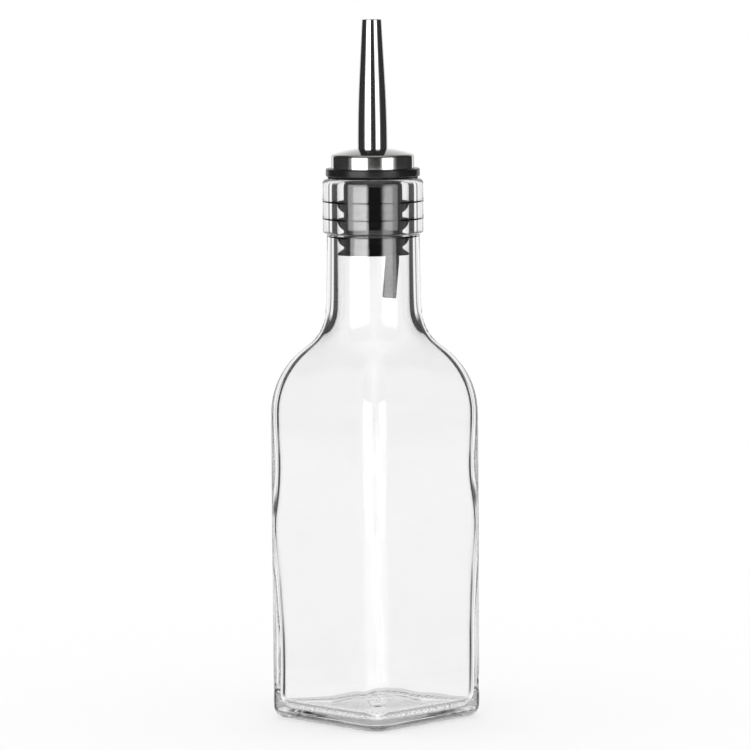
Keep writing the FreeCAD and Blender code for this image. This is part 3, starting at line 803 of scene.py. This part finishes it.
# The table is bright between the boxes and towards the wall, and darker at the sides.
table_width = by_bearing([
    (-125, 0.9), (-105, 0.42), (-80, 0.42), (-55, 0.75), (-30, 0.75), (-14, 1.25), (24, 1.25), (40, 0.75),
    (55, 0.75), (80, 0.42), (105, 0.42), (125, 0.9)])
table_depth = by_rise([(-14, 1), (-10, 0.6), (-8, 1), (-6.3, 1), (-5.9, 0)])
pale_table = combined(nodes, "MULTIPLY", table_width, table_depth)

# Dark screens beside the wall, and a narrow grey one in front of each of its ends, draw the dark lines
# along the glass. They don't reach down to the near part of the table.
screen_width = by_bearing([
    (-160, 1), (-158, 0.25), (-154, 0.25), (-152, 1), (-142, 1), (-138, 0), (-114, 0), (-108, 1),
    (108, 1), (114, 0), (138, 0), (142, 1), (152, 1), (154, 0.25), (158, 0.25), (160, 1)])
screen_foot = by_rise([(-26, 1), (-18, 0.5), (-12, 0.2), (-8.5, 0)])
beside_screens = combined(nodes, "MAXIMUM", screen_width, screen_foot)
room = combined(nodes, "MAXIMUM", white_wall, pale_table)
room = combined(nodes, "MULTIPLY", room, beside_screens)

# The lights at the sides, which only the inside of the glass mirrors, keep the body's faces pale.
side_width = by_bearing([
    (-108, 0), (-100, 0.58), (-84, 0.58), (-79, 0), (79, 0), (84, 0.58), (100, 0.58), (108, 0)])
side_height = by_rise([(-14, 0.8), (-10, 0.6), (-8, 1)])
side_lights = combined(nodes, "MULTIPLY", side_width, side_height)
side_lights = combined(nodes, "MULTIPLY", side_lights, inside_glass)

# The ceiling is pale, and beyond the front wall so is all of the upper room. The rest of the room is dark.
ceiling = by_rise([(45, 0), (70, 0.4)])
upper_room = combined(nodes, "MULTIPLY", by_rise([(0, 0), (8, 0.75)]), past_front)
dark_room = 0.03
for pale_part in (side_lights, ceiling, upper_room, dark_room):
    room = combined(nodes, "MAXIMUM", room, pale_part)
mirrored = combined(nodes, "ADD", boxes, room)

# The studio is what a ray shows after one or two mirrors, and fades over the next two. It lights nothing.
most_mirrors = 10
mirrors = levels_by_count(path.outputs["Glossy Depth"], most_mirrors, [(0, 0), (1, 1), (2, 1), (4, 0)])
not_lighting = combined(nodes, "LESS_THAN", path.outputs["Diffuse Depth"], 0.5)
studio_share = combined(nodes, "MULTIPLY", mirrors, not_lighting)

# All else is white. Only for rays that have passed one wall of the glass is it darker, steeply downwards.
below = by_rise([(-35, 0.2), (-14, 1.0)])
white = combined(nodes, "MAXIMUM", below, combined(nodes, "MAXIMUM", straight, past_front))
shown = put(nodes, "Mix", data_type="FLOAT")
links.new(studio_share, shown.inputs["Factor"])
links.new(white, shown.inputs["A"])
links.new(mirrored, shown.inputs["B"])
nodes["Background"].inputs["Color"].default_value = (1, 1, 1, 1)
links.new(shown.outputs["Result"], nodes["Background"].inputs["Strength"])

# Light that is caught inside the thick glass is followed until it comes out.
bounces = 24
passes = bpy.context.scene.cycles
passes.max_bounces = bounces
passes.glossy_bounces = bounces
passes.transmission_bounces = bounces


# Camera: a long lens, a little higher than the spout's tip, looking slightly down at one corner of the
# body. It stands on the body's diagonal, a touch to the right, and is turned slightly about its own axis.
camera_data = bpy.data.cameras.new("camera")
camera_data.lens = 222.3
camera_data.sensor_width = 36
camera_data.clip_end = 20
camera = bpy.data.objects.new("camera", camera_data)
bpy.context.scene.collection.objects.link(camera)
distance, camera_height, to_one_side = 1.375, 0.235, 0.00022
pitch, roll = math.radians(5.487), math.radians(-0.42)
camera.location = ((to_one_side + distance) * diagonal, (to_one_side - distance) * diagonal, camera_height)
aimed = mathutils.Euler((math.pi / 2 - pitch, 0, math.pi / 4)).to_matrix()
camera.rotation_euler = (aimed @ mathutils.Matrix.Rotation(roll, 3, "Z")).to_euler()
bpy.context.scene.camera = camera
bpy.context.scene.view_settings.view_transform = "Standard"
